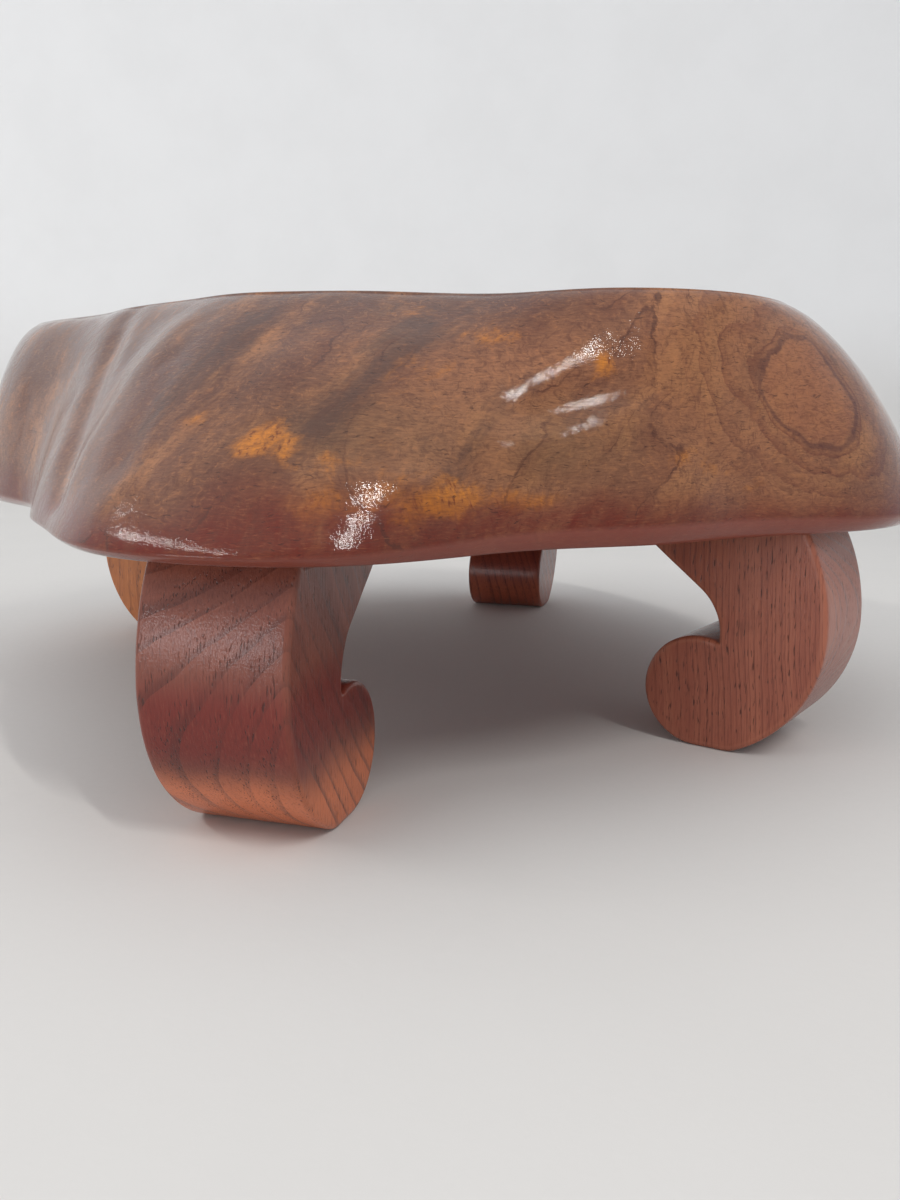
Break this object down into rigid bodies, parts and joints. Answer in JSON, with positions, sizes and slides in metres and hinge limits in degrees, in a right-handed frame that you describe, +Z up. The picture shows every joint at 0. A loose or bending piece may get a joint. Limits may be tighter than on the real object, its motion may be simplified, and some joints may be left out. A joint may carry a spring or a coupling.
{
  "type": "display stand",
  "caption": "Low display stand: a thick flat-topped natural-edge wood slab on short scroll-cut board legs.",
  "frame": {"origin": "middle of the stand's footprint box, on the surface it stands on", "axes": "+Z up, +Y along the slab's longer way with the narrow showing end towards -Y, +X to the right seen from that end"},
  "size_m": [0.517, 0.566, 0.212],
  "materials": {
    "burl_slab": "burl figure under glossy clear lacquer",
    "leg_wood": "straight grain, reddish-brown stain, satin lacquer",
    "dowel_wood": "plain unfinished hardwood"
  },
  "bodies": {
    "root": {"top_slab": "burl_slab", "leg_front_left": "leg_wood", "leg_front_right": "leg_wood", "leg_rear_right": "leg_wood", "leg_rear_left": "leg_wood", "dowel_front_left_inner": "dowel_wood", "dowel_front_left_outer": "dowel_wood", "dowel_front_right_inner": "dowel_wood", "dowel_front_right_outer": "dowel_wood", "dowel_rear_right_inner": "dowel_wood", "dowel_rear_right_outer": "dowel_wood", "dowel_rear_left_inner": "dowel_wood", "dowel_rear_left_outer": "dowel_wood"}
  },
  "joints": []
}
